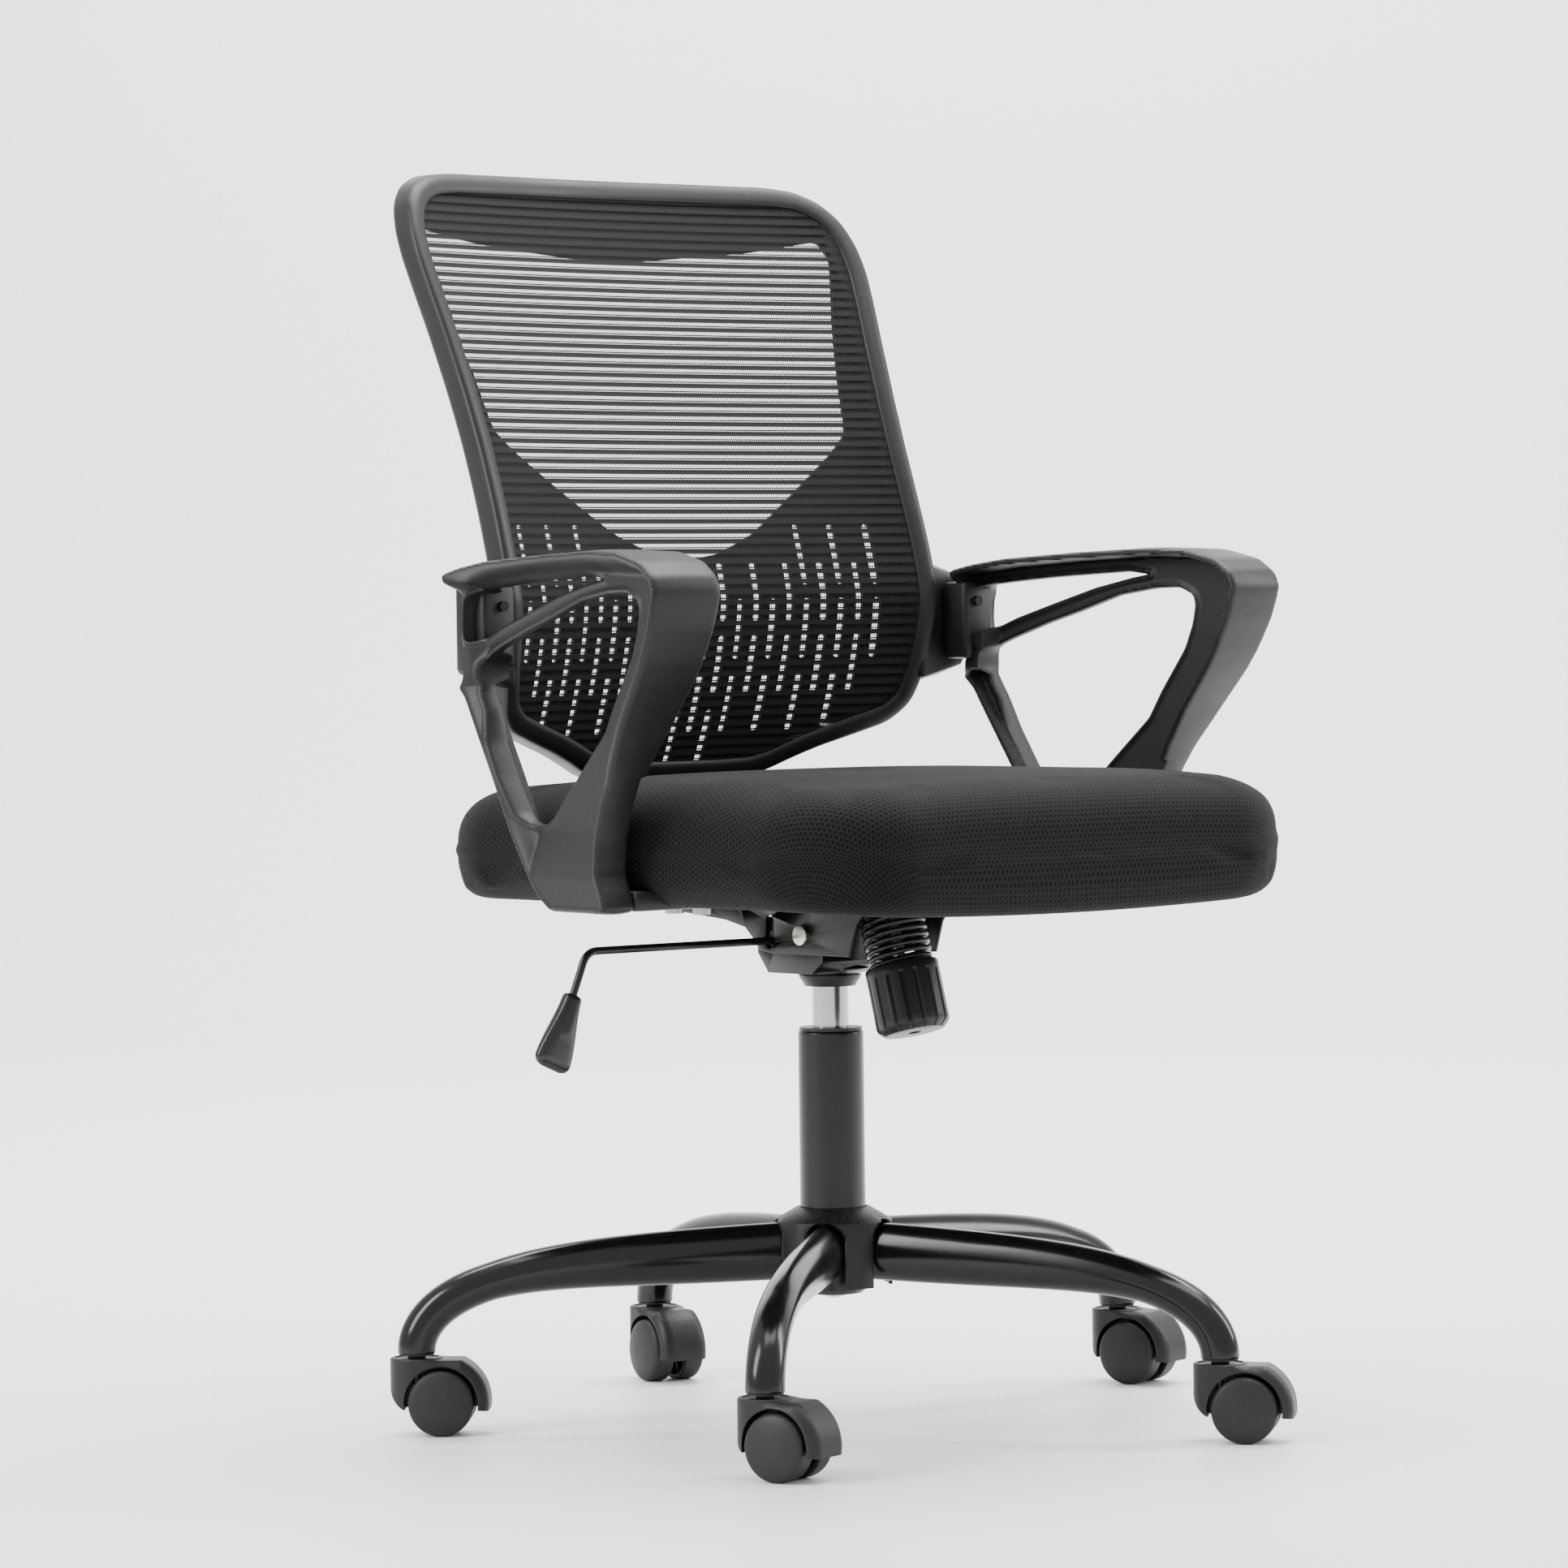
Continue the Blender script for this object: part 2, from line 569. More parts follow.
# ---- seat mechanism --------------------------------------------------------------------------
# A pressed pan sits on the column's collar. The seat bracket is hinged to it by a long bolt, and a
# stiff spring in front holds the seat level: it stands on a grooved knob and bears on the pan.
def lean(local):
    """Move points made about Z, with 0 at the knob's top, onto the leaning tension screw."""
    tilt = math.radians(knob_lean)
    moved = local.copy()
    moved[..., 1] = knob_y + local[..., 1] * math.cos(tilt) + local[..., 2] * math.sin(tilt)
    moved[..., 2] = knob_z - local[..., 1] * math.sin(tilt) + local[..., 2] * math.cos(tilt)
    return moved


def tube_along(centres, radius, columns):
    """A round wire of a radius along a line of points, with frames carried along the line."""
    centres = np.asarray(centres, float)
    run = np.gradient(centres, axis=0)
    run /= np.linalg.norm(run, axis=1)[:, None]
    side = np.empty_like(run)
    side[0] = np.cross(run[0], (0.3, 0.2, 0.9))
    for i in range(len(run)):
        last = side[max(i - 1, 0)]
        across = last - run[i] * (last @ run[i])
        side[i] = across / np.linalg.norm(across)
    other = np.cross(run, side)
    angle = np.linspace(0, 2 * math.pi, columns, endpoint=False)
    ring = side[:, None] * np.cos(angle)[:, None] + other[:, None] * np.sin(angle)[:, None]
    points = centres[:, None] + radius * ring
    ends = [np.repeat(end[None, None], columns, axis=1) for end in (centres[0], centres[-1])]
    return grid(np.concatenate([ends[0], points, ends[1]]), around=True)


pan_paint = painted("pan_paint", (0.004, 0.004, 0.0042), 0.18, ripple=0.06)
bracket_paint = painted("bracket_paint", (0.009, 0.008, 0.007), 0.36, ripple=0.05)
zinc = painted("zinc_plate", (0.55, 0.54, 0.50), 0.28, metallic=1.0, ripple=0.05)
spring_paint = painted("spring_paint", (0.006, 0.006, 0.0065), 0.28)
knob_plastic = moulded("knob_plastic", (0.007, 0.007, 0.0075), 0.34, grain_depth=0.1)
collar_plastic = moulded("collar_plastic", (0.006, 0.006, 0.0065), 0.38, grain_depth=0.15)
bush_plastic = moulded("bush_plastic", (0.03, 0.03, 0.03), 0.45)
knob_lean = 16.0
knob_y = -82.0
knob_z = 351.7
knob_radius = 28.0
knob_length = 52.0
knob_pocket = 6.4
knob_grooves = 16
spring_radius = 23.0
spring_wire = 2.0
spring_pitch = 5.5
spring_turns = 9.15
collar_low, collar_high = (corner.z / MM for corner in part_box("column_collar"))
turned("collar_ring", [(14.2, collar_low), (19.2, collar_low), (20, collar_low + 0.8),
                       (21.2, collar_low + 3.4), (23.2, collar_low + 6), (24, collar_high - 0.8),
                       (23.8, collar_high), (14.2, collar_high), (14.2, collar_low)],
       collar_plastic, "column_top", "collar_plastic", "column_collar")
refined("tilt_housing", pan_paint, "column_top", "housing_steel", edge=1.3)
refined("seat_bracket", bracket_paint, "seat", "bracket_steel", edge=0.7)
refined("pivot_bolt", zinc, "seat", "zinc_steel", edge=0.5)
dress("tension_bolt", zinc)
dress("spring_washer", zinc)
dress("lever_bush", bush_plastic)
dress("bolts_into_board", zinc)

turn = np.linspace(0, 2 * math.pi * spring_turns, int(64 * spring_turns))
along = turn / (2 * math.pi) * spring_pitch
start_height = 0.1 + 3.0 - knob_pocket
coil = np.stack([spring_radius * np.cos(turn), spring_radius * np.sin(turn),
                 start_height + spring_wire + along], axis=-1)
spring = make("tilt_spring", [tube_along(lean(coil), spring_wire, 14)], spring_paint, crease=80)
spring_axis = lean(np.array([[0, 0, start_height], [0, 0, start_height + 2 * spring_wire + along[-1]]]))
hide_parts("tension_spring")
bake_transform(spring)

knob_profile = (
    [(5.1, -knob_length + 11), (5.1, -knob_length), (20.5, -knob_length), (23, -knob_length + 0.4),
     (27.2, -knob_length + 4.6), (28, -knob_length + 6.5)]
    + [(28, height) for height in np.linspace(-knob_length + 10, -9.5, 8)]
    + [(28, -8.0), (28, -6.8), (28, -1.0), (27.4, -0.1), (26.8, 0), (26.5, -0.4), (26.5, -knob_pocket),
       (5.1, -knob_pocket), (5.1, -knob_length + 11)]
)
knob_points = revolve(knob_profile, knob_grooves * 14)
knob_angle = np.linspace(0, 2 * math.pi, knob_grooves * 14, endpoint=False)
groove_turn = (knob_angle * knob_grooves / (2 * math.pi) + 0.5) % 1 - 0.5
groove = np.clip(1 - (groove_turn / 0.11) ** 2, 0, 1)
knob_radii, knob_heights = np.array(knob_profile).T
sunk = (knob_radii > 22) & (knob_heights < -7.5)
shrink = 1 - (1.5 * sunk[:, None] * np.sqrt(groove)[None]) / knob_radius
knob_points[..., :2] *= shrink[..., None]
knob = make("tension_hand_knob", [grid(lean(knob_points), around=True)], knob_plastic, crease=38)
fit(knob, "tension_knob", "knob_plastic", "tension_knob")


# ---- height lever ----------------------------------------------------------------------------
# A black steel rod comes out of the pan, turns down at its end and carries a flared paddle. Its
# inner end presses the column's valve through a small tongue.
lever_y = 18.0
lever_z = 369.2
lever_reach = 224.0
grip_slant = math.radians(23.0)
bend_radius = 14.0
rod_paint = painted("rod_paint", (0.006, 0.006, 0.0065), 0.2)
grip_plastic = moulded("grip_plastic", (0.008, 0.008, 0.0095), 0.22, grain_depth=0.05, coat=0.2)
down = np.array([-math.sin(grip_slant), 0, -math.cos(grip_slant)])
corner = np.array([-lever_reach, lever_y, lever_z])
bend_angle = math.pi / 2 - grip_slant
reach = bend_radius * math.tan(bend_angle / 2)
sweep = np.linspace(0, bend_angle, 14)
bend_centre = corner + np.array([reach, 0, -bend_radius])
curve = bend_centre + bend_radius * np.stack([-np.sin(sweep), 0 * sweep, np.cos(sweep)], axis=-1)
straight = np.linspace((-21, lever_y, lever_z), curve[0], 30)[:-1]
tail = np.linspace(curve[-1], corner + down * 46, 10)[1:]
rod = make("lever_bar", [tube_along(np.concatenate([straight, curve, tail]), 3.0, 24)], rod_paint)
fit(rod, "lever", "lever_steel", "lever_rod")
dress("release_tongue", zinc)

share = np.linspace(0, 1, 44)
grip_wide = 15 + 18 * smoothstep(share, 0.0, 0.95)
grip_deep = 12 + 2 * np.sin(share * math.pi)
end_round = np.sqrt(np.clip(1 - np.clip((share - 0.86) / 0.14, 0, 1) ** 2, 0, 1))
start_round = np.sqrt(np.clip(1 - np.clip((0.06 - share) / 0.06, 0, 1) ** 2, 0, 1)) * 0.6 + 0.4
angle = np.linspace(0, 2 * math.pi, 56, endpoint=False)
cos, sin = np.cos(angle), np.sin(angle)
box_x = np.sign(cos) * np.abs(cos) ** 0.55
box_y = np.sign(sin) * np.abs(sin) ** 0.72
wide = (grip_wide / 2 * (0.55 + 0.45 * end_round) * start_round)[:, None] * box_x[None]
deep = (grip_deep / 2 * end_round * start_round)[:, None] * box_y[None]
spine = np.exp(-((wide - 1.5) / (grip_wide[:, None] * 0.2)) ** 2)
spine = spine * (1 - smoothstep(share, 0.5, 0.62))[:, None]
deep = deep * (1 - 0.16 * (1 - spine))
side_dir = np.array([math.cos(grip_slant), 0, -math.sin(grip_slant)])
along_grip = (34 + share * 59.0)[:, None, None]
grip_points = (corner + down * along_grip + side_dir * wide[..., None]
               + np.array([0, 1.0, 0]) * deep[..., None])
ends = [np.repeat(row.mean(axis=1, keepdims=True), len(angle), axis=1)
        for row in (grip_points[:1], grip_points[-1:])]
grip_points = np.concatenate([ends[0], grip_points, ends[1]])
grip = make("lever_paddle", [grid(grip_points, around=True)], grip_plastic, crease=50)
fit(grip, "lever", "grip_plastic", "lever_grip")


# ---- seat ------------------------------------------------------------------------------------
# A plywood board carries thick foam in a black knitted spacer fabric. The cover rolls over a
# waterfall front and tucks in under the board, behind a thin woven lining.
def knit_group():
    """Spacer knit: a honeycomb of small dimples, each a rounded hole between raised yarns."""
    tree, given, result = shader_group("spacer_knit", {"Vector": "Vector", "Size": "Float"},
                                       {"Hole": "Float", "Yarn": "Float"})
    grown = wire(tree, "VectorMath", {0: given["Vector"]}, operation="SCALE")
    tree.links.new(given["Size"], grown.inputs["Scale"])
    split = wire(tree, "SeparateXYZ", {0: grown.outputs[0]})
    fields = []
    for shift in (0.0, 0.5):
        u = wire(tree, "Math", {0: split.outputs[0], 1: shift}, operation="ADD")
        v = wire(tree, "Math", {0: split.outputs[1], 1: 0.5774}, operation="MULTIPLY")
        v = wire(tree, "Math", {0: v.outputs[0], 1: shift}, operation="ADD")
        parts = []
        for axis, stretch in ((u, 1.0), (v, 1.732)):
            cell = wire(tree, "Math", {0: axis.outputs[0]}, operation="FRACT")
            cell = wire(tree, "Math", {0: cell.outputs[0], 1: 0.5}, operation="SUBTRACT")
            cell = wire(tree, "Math", {0: cell.outputs[0], 1: stretch}, operation="MULTIPLY")
            cell = wire(tree, "Math", {0: cell.outputs[0], 1: cell.outputs[0]}, operation="MULTIPLY")
            parts.append(cell)
        both = wire(tree, "Math", {0: parts[0].outputs[0], 1: parts[1].outputs[0]}, operation="ADD")
        fields.append(wire(tree, "Math", {0: both.outputs[0]}, operation="SQRT"))
    near = wire(tree, "Math", {0: fields[0].outputs[0], 1: fields[1].outputs[0]}, operation="MINIMUM")
    hole = wire(tree, "MapRange", {"Value": near.outputs[0], "From Min": 0.20, "From Max": 0.36,
                                   "To Min": 1.0, "To Max": 0.0})
    strand = wire(tree, "TexNoise", {"Vector": grown.outputs[0], "Scale": 7.0, "Detail": 2.0})
    tree.links.new(hole.outputs[0], result.inputs["Hole"])
    tree.links.new(strand.outputs[0], result.inputs["Yarn"])
    return tree


def fabric(name, yarn, deep, cell, sheen=0.6):
    """Knitted cover on the UV map, in metres: dark dimples, lighter yarn and a grey sheen."""
    material, tree, shader, place = new_material(
        name, yarn, 0.85, {"Sheen Weight": sheen, "Sheen Roughness": 0.4, "Specular IOR Level": 0.1}
    )
    uv = wire(tree, "UVMap", uv_map="cloth").outputs["UV"]
    cells = wire(tree, "Group", node_tree=knit)
    tree.links.new(uv, cells.inputs["Vector"])
    cells.inputs["Size"].default_value = 1 / cell
    tint = wire(tree, "Mix", {"Factor": cells.outputs["Hole"]}, data_type="RGBA")
    tint.inputs[6].default_value = (*yarn, 1)
    tint.inputs[7].default_value = (*deep, 1)
    marks = wire(tree, "Group", node_tree=handling)
    tree.links.new(place, marks.inputs["Vector"])
    lint = wire(tree, "Math", {0: marks.outputs["Dust"], 1: 0.10}, operation="MULTIPLY")
    final = wire(tree, "Mix", {"Factor": lint.outputs[0]}, data_type="RGBA")
    tree.links.new(tint.outputs[2], final.inputs[6])
    final.inputs[7].default_value = (0.05, 0.05, 0.052, 1)
    tree.links.new(final.outputs[2], shader.inputs["Base Color"])
    rise = wire(tree, "Math", {0: cells.outputs["Yarn"], 1: cells.outputs["Hole"]},
                operation="SUBTRACT")
    bump = wire(tree, "Bump", {"Height": rise.outputs[0], "Strength": 0.55, "Distance": 0.0006})
    tree.links.new(bump.outputs[0], shader.inputs["Normal"])
    return material


def seat_outline(count):
    """Plan of the seat: a rounded rectangle.

    Returns evenly spaced points and their outward normals, anticlockwise from the front."""
    half, corner_radius = seat_half, 90.0
    centres = [(half - 90, seat_front + 90, -90), (half - 90, seat_rear - 90, 0),
               (90 - half, seat_rear - 90, 90), (90 - half, seat_front + 90, 180)]
    loop = np.concatenate([[(x + corner_radius * math.cos(math.radians(start + step)),
                             y + corner_radius * math.sin(math.radians(start + step)))
                            for step in range(0, 91, 3)] for x, y, start in centres])
    closed = np.concatenate([loop, loop[:1]])
    length = np.concatenate([[0], np.cumsum(np.linalg.norm(np.diff(closed, axis=0), axis=1))])
    even = np.linspace(0, length[-1], count, endpoint=False)
    points = np.stack([np.interp(even, length, closed[:, k]) for k in (0, 1)], axis=-1)
    run = np.roll(points, -1, axis=0) - np.roll(points, 1, axis=0)
    run /= np.linalg.norm(run, axis=1)[:, None]
    return points, np.stack([run[:, 1], -run[:, 0]], axis=-1)


def seat_height(x, y):
    """Top of the cushion in millimetres above the floor: crowned, with a soft saddle."""
    crown = 7.0 * np.abs(x / seat_half) ** 2.6
    fall = 10.0 * smoothstep(y, 0, seat_rear) + 5.0 * smoothstep(-y, 130, -seat_front)
    return seat_high - crown - fall


knit = knit_group()
seat_fabric = fabric("spacer_fabric", (0.0085, 0.0085, 0.009), (0.001, 0.001, 0.001), 0.0044,
                     sheen=0.035)
lining = fabric("lining_cloth", (0.03, 0.03, 0.031), (0.015, 0.015, 0.015), 0.0015, sheen=0.05)
plywood = painted("plywood", (0.36, 0.24, 0.13), 0.6)
seat_half = 248.0
seat_front = -291.0
seat_rear = 216.0
seat_high = 497.5
seat_low = 405.0
rim_points, rim_normals = seat_outline(280)
rim_profile = [(46 * (1 - math.sin(a) ** 0.9), -40 * (1 - math.cos(a) ** 0.9))
               for a in np.linspace(0, 1.56, 16)]
inner = np.linspace(0.0, 1.0, 34)[:-1]
flat_rim = rim_points - rim_normals * 46
top_xy = flat_rim[None] * inner[:, None, None] + np.array([0, -37.0]) * (1 - inner)[:, None, None]
top_z = seat_height(top_xy[..., 0], top_xy[..., 1])
rows = [np.concatenate([top_xy, top_z[..., None]], axis=-1)]
cloth = [top_xy]
run_length = 0.0
last = (46.0, 0.0)
edge_height = seat_height(flat_rim[:, 0], flat_rim[:, 1])
side_low = seat_low + 30
lower = [(24 * (1 - math.cos(a)), side_low - 30 * math.sin(a)) for a in np.linspace(0, math.pi / 2, 14)]
lower += [(26, seat_low + 0.5), (29, seat_low + 2.5), (30, seat_low + 6.5)]
for inset, drop in rim_profile:
    run_length += math.hypot(last[0] - inset, last[1] - drop)
    last = (inset, drop)
    xy = rim_points - rim_normals * inset
    rows.append(np.concatenate([xy, (edge_height + drop)[:, None]], axis=-1)[None])
    cloth.append((flat_rim + rim_normals * run_length)[None])
side_top = edge_height - 40
for share_down in np.linspace(0, 1, 12)[1:]:
    z = side_top * (1 - share_down) + side_low * share_down
    xy = rim_points + rim_normals * 1.6 * math.sin(share_down * math.pi)
    rows.append(np.concatenate([xy, z[:, None]], axis=-1)[None])
    cloth.append((flat_rim + rim_normals * (run_length + share_down * 24))[None])
run_length += 24
last = (0, side_low)
for inset, z in lower[1:]:
    run_length += math.hypot(last[0] - inset, last[1] - z)
    last = (inset, z)
    xy = rim_points - rim_normals * inset
    rows.append(np.concatenate([xy, np.full((len(xy), 1), z)], axis=-1)[None])
    cloth.append((flat_rim + rim_normals * run_length)[None])
seat_middle = np.array([0, -37.0])
tucked = rim_points - rim_normals * 30
floor_rows = [np.column_stack([tucked * scale + seat_middle * (1 - scale),
                               np.full(len(rim_points), seat_low + 6.5)])[None]
              for scale in (0.8, 0.4, 0.0)]
seat_points = np.concatenate(rows + floor_rows)
narrow = 9.0 * smoothstep(seat_points[..., 1], 10, 110)
narrow = narrow * smoothstep(np.abs(seat_points[..., 0]), 120, 240)
seat_points[..., 0] -= np.sign(seat_points[..., 0]) * narrow
sagging = smoothstep(-seat_points[..., 1], 190, 285)
sagging = sagging * smoothstep(seat_high - seat_points[..., 2], 55, 88)
seat_points[..., 2] -= 9.0 * sagging * (1 - (seat_points[..., 0] / 262) ** 2)
cushion = make("seat_pad", [grid(seat_points, around=True)], seat_fabric, crease=70)
cloth = np.concatenate(cloth + [cloth[-1]] * 3)


def give_uv(piece, points, uv):
    """Write a UV map, in metres of cloth, from the nearest grid point to each vertex."""
    mesh = piece.data
    places = points.reshape(-1, 3) * MM
    tree = KDTree(len(places))
    for index, place in enumerate(places.tolist()):
        tree.insert(place, index)
    tree.balance()
    nearest = np.array([tree.find(vertex.co)[1] for vertex in mesh.vertices])
    per_vertex = uv.reshape(-1, 2)[nearest] * MM
    loops = np.empty(len(mesh.loops), int)
    mesh.loops.foreach_get("vertex_index", loops)
    layer = mesh.uv_layers.new(name="cloth")
    layer.data.foreach_set("uv", per_vertex[loops].ravel())


give_uv(cushion, seat_points, cloth)


def swell(piece, pressure, cap, frames=20):
    """Let a cover swell over its foam as cloth under pressure, each point by no more than cap."""
    mesh = piece.data
    before = np.empty(len(mesh.vertices) * 3)
    mesh.vertices.foreach_get("co", before)
    before = before.reshape(-1, 3)
    cloth = piece.modifiers.new("swell", "CLOTH")
    cloth.settings.quality = 5
    cloth.settings.mass = 0.3
    cloth.settings.tension_stiffness = 25
    cloth.settings.compression_stiffness = 25
    cloth.settings.bending_stiffness = 2.0
    cloth.settings.use_pressure = True
    cloth.settings.uniform_pressure_force = pressure
    cloth.settings.effector_weights.gravity = 0
    cloth.settings.vertex_group_mass = piece.vertex_groups[0].name
    cloth.collision_settings.use_collision = False
    scene = bpy.context.scene
    for step in range(1, frames + 1):
        scene.frame_set(step)
    shown = piece.evaluated_get(bpy.context.evaluated_depsgraph_get())
    after = np.empty(len(mesh.vertices) * 3)
    shown.data.vertices.foreach_get("co", after)
    move = after.reshape(-1, 3) - before
    length = np.maximum(np.linalg.norm(move, axis=1), 1e-9)
    move *= np.minimum(1, cap * MM / length)[:, None]
    piece.modifiers.remove(cloth)
    scene.frame_set(1)
    mesh.vertices.foreach_set("co", (before + move).ravel())
    mesh.update()


held = cushion.vertex_groups.new(name="held")
where = np.empty(len(cushion.data.vertices) * 3)
cushion.data.vertices.foreach_get("co", where)
where = where.reshape(-1, 3) / MM
fixed = (where[:, 2] < seat_low + 9) | (np.hypot(where[:, 0], where[:, 1] + 37) < 20)
held.add(np.flatnonzero(fixed).tolist(), 1.0, "REPLACE")
swell(cushion, pressure=4.0, cap=2.5)
fit(cushion, "seat", "seat_fabric", "seat_cushion")
dress("seat_board", plywood)
dress("seat_underside", lining)


# ---- armrests --------------------------------------------------------------------------------
# Each armrest is one moulding: a thin web with two openings and a flange round its edge, wide over
# the top and down the front. Outside, the flange runs into the web in a soft hollow. Inside, it
# stands up as a rim round a recess.
def through(points, smooth=4, spacing=1.5):
    """Closed polyline through points, its corners softened by repeated averaging."""
    loop = np.array(points, float)
    closed = np.concatenate([loop, loop[:1]])
    length = np.concatenate([[0], np.cumsum(np.linalg.norm(np.diff(closed, axis=0), axis=1))])
    even = np.linspace(0, length[-1], int(length[-1] / spacing), endpoint=False)
    line = np.stack([np.interp(even, length, closed[:, k]) for k in (0, 1)], axis=-1)
    for _ in range(smooth):
        line = 0.25 * np.roll(line, 1, axis=0) + 0.5 * line + 0.25 * np.roll(line, -1, axis=0)
    return line


def measured(line, spacing=1.5, margin=30.0):
    """Depth inside a closed polyline, positive inside it: a table of distances made once and then
    read with straight-line interpolation at any points."""
    start, step = line, np.roll(line, -1, axis=0) - line
    length = np.maximum((step ** 2).sum(axis=1), 1e-12)
    low = line.min(axis=0) - margin
    count = np.ceil((line.max(axis=0) + margin - low) / spacing).astype(int) + 1
    u = low[0] + spacing * np.arange(count[0])
    v = low[1] + spacing * np.arange(count[1])
    table = np.empty(count)
    rise = np.where(step[:, 1] == 0, 1e-12, step[:, 1])
    for row, x in enumerate(u):
        p = np.column_stack([np.full(len(v), x), v])[:, None]
        share = np.clip(((p - start) * step).sum(axis=2) / length, 0, 1)
        gap = np.sqrt(((p - start - share[..., None] * step) ** 2).sum(axis=2).min(axis=1))
        crosses = (start[:, 1] > p[..., 1]) != (start[:, 1] + step[:, 1] > p[..., 1])
        at = start[:, 0] + (p[..., 1] - start[:, 1]) / rise * step[:, 0]
        inside = (crosses & (x < at)).sum(axis=1) % 2 == 1
        table[row] = np.where(inside, gap, -gap)

    def depth(points):
        place = np.clip((points - low) / spacing, 0, np.array(count) - 1.001)
        first = place.astype(int)
        part = place - first
        i, j = first[..., 0], first[..., 1]
        s, t = part[..., 0], part[..., 1]
        near = table[i, j] * (1 - s) + table[i + 1, j] * s
        far = table[i, j + 1] * (1 - s) + table[i + 1, j + 1] * s
        return near * (1 - t) + far * t

    return depth


arm_plastic = moulded("arm_plastic", (0.008, 0.008, 0.0092), 0.46, grain_scale=1500, grain_depth=0.4)
arm_line = through([
    (112, 651), (88, 655.6), (55, 659.6), (-14, 663.2), (-90, 665.6), (-130, 664), (-161, 656.5),
    (-176, 646), (-180.5, 636), (-179, 628), (-173, 610), (-160, 585), (-150, 570), (-126, 540),
    (-104, 510), (-87, 480), (-78, 453), (-76, 430), (-84, 414), (-87, 405), (-82, 402.2),
    (-12, 402.2), (4, 412), (18, 427), (40, 456), (66, 499), (87, 532), (103, 558), (112.5, 566),
    (105.5, 573), (104.5, 601), (102.5, 631), (110, 644),
], smooth=6)
large_hole = through([
    (-120, 629), (-122, 621), (-119, 606), (-111, 587), (-87, 554), (-74, 533), (-42, 505), (-6, 473),
    (4, 466), (16, 463.5), (28, 466), (37, 472), (57, 500), (72, 525), (80, 550), (88, 563),
    (91.5, 575),
    (90, 585), (80, 592), (66, 597), (28, 609), (-5, 618), (-45, 630), (-82, 635), (-106, 635.5),
], smooth=5)
small_hole = through([
    (-79, 645.5), (-55, 648.5), (20, 645), (56, 642.5), (86, 640), (97, 636), (101, 628), (102, 612),
    (100.5, 601), (96, 599.5), (62, 612), (20, 624), (-20, 635), (-58, 642.5),
], smooth=4)
arm_depth = measured(arm_line)
large_depth = measured(large_hole)
small_depth = measured(small_hole)
arm_plane = 266.0
arm_toe = math.radians(6.45)
web_outside = 2.7
web_inside = -3.5


def arm_field(points):
    """Distance into the armrest's side view: inside its outline and outside both openings."""
    return np.minimum(np.minimum(arm_depth(points), -large_depth(points)),
                      -small_depth(points))


def flange_half(points):
    """Half the flange's width: widest over the top, narrowing down the front to the foot."""
    y, z = points[:, 0], points[:, 1]
    down_front = np.interp(z, [450, 495, 510, 540, 570, 600, 625], [15, 15, 17.5, 23, 26, 28, 29])
    top = 15 + 14 * smoothstep(z, 636, 646)
    return np.maximum(np.where(y < 0, down_front, 15), top)


def hole_bead(points):
    """A low rounded bead that runs along the edges of the openings."""
    near = np.minimum(-large_depth(points), -small_depth(points))
    return 1.6 * np.exp(-((near - 1.8) / 1.8) ** 2)


def arm_outside(points):
    """Outer face: the flange's edge falls in a smooth hollow to the web."""
    inside = np.maximum(arm_depth(points), 0)
    half = flange_half(points)
    spread = np.interp(points[:, 1], [420, 470, 560, 640], [15, 22, 24, 18])
    hollow = 1 - smoothstep(inside, 2.5, spread)
    foot = 1 - smoothstep(points[:, 1], 425, 462)
    height = web_outside + (half - web_outside) * np.maximum(hollow, 0.96 * foot)
    return height + hole_bead(points) - rounding(inside, 2.4)


def arm_inside(points):
    """Inner face: a rim six millimetres thick round a recess, deeper where the back bolts on."""
    inside = np.maximum(arm_depth(points), 0)
    half = flange_half(points)
    half = np.where(half < 16, 12.5, half)
    recess = smoothstep(inside, 4.6, 7.6)
    lug = smoothstep(points[:, 0], 78, 86) * smoothstep(points[:, 1], 566, 574)
    lug = lug * (1 - smoothstep(points[:, 1], 634, 642))
    recess = recess * (1 - lug)
    floor = web_inside - hole_bead(points)
    depth = -half * (1 - recess) + floor * recess - 5.5 * lug
    return depth + rounding(inside, 2.0)


def turn_arm(vertices, side):
    """Swing (along, height, outwards) points to an armrest's plane, toed out to the front."""
    along, height, out = vertices[..., 0], vertices[..., 1], vertices[..., 2]
    x = arm_plane + out * math.cos(arm_toe) - along * math.sin(arm_toe)
    y = along * math.cos(arm_toe) + out * math.sin(arm_toe)
    return np.stack([side * x, y, height], axis=-1)


def slab(low, high, radius=2.0, columns=24):
    """A closed box between two corners with rounded vertical edges and softened top and bottom."""
    middle, half = (np.array(low) + high) / 2, (np.array(high) - low) / 2
    angle = np.linspace(0, 2 * math.pi, columns, endpoint=False) + math.pi / columns
    ring = np.stack([np.cos(angle), np.sin(angle)], axis=-1)
    rows = []
    for inset, level in ((half.min(), -1), (radius, -1), (radius * 0.3, -1 + 0.3 * radius / half[2]),
                         (0, -1 + radius / half[2]), (0, 1 - radius / half[2]),
                         (radius * 0.3, 1 - 0.3 * radius / half[2]), (radius, 1), (half.min(), 1)):
        core = half[:2] - max(radius, inset)
        xy = np.sign(ring) * core + ring * (max(radius, inset) - inset)
        rows.append(np.column_stack([middle[:2] + xy, np.full(columns, middle[2] + level * half[2])]))
    rows = [np.broadcast_to(rows[0].mean(axis=0), rows[0].shape)] + rows[1:-1] + [
        np.broadcast_to(rows[-1].mean(axis=0), rows[-1].shape)]
    return grid(np.stack(rows), around=True)


